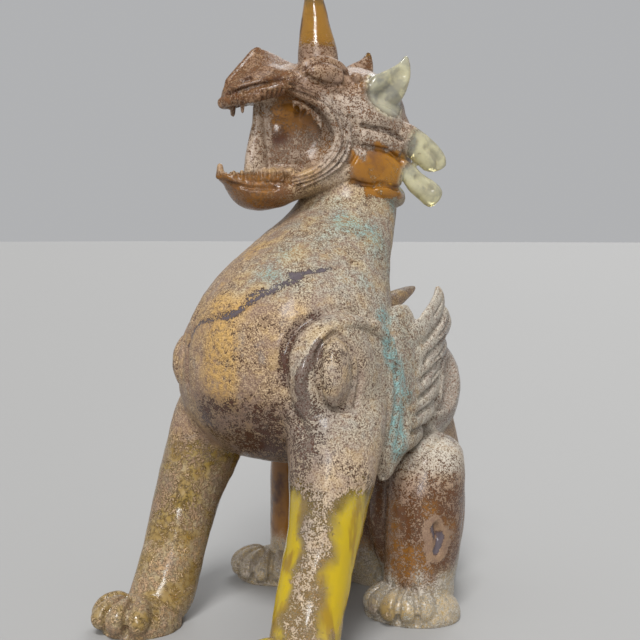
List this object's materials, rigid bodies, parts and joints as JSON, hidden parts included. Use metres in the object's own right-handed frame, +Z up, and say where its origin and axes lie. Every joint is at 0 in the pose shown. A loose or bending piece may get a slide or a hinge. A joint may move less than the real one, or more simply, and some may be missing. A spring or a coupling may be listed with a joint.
{
  "type": "guardian lion figure",
  "caption": "Seated winged guardian lion with one horn, open jaws and a turned head, cast in glass as one solid piece.",
  "frame": {"origin": "middle of the bounding box, on the surface the figure stands on", "axes": "the body faces -Y, the animal's own left side is +X, +Z is up; the head is turned 29 degrees to the animal's right"},
  "size_m": [0.1164, 0.175, 0.261],
  "materials": {
    "crusted_glass": "amber cast glass under a thin granular taupe crust, worn through to clear glass on legs, ears, horn and mane ends"
  },
  "bodies": {
    "root": {"guardian_lion": "crusted_glass"}
  },
  "joints": []
}
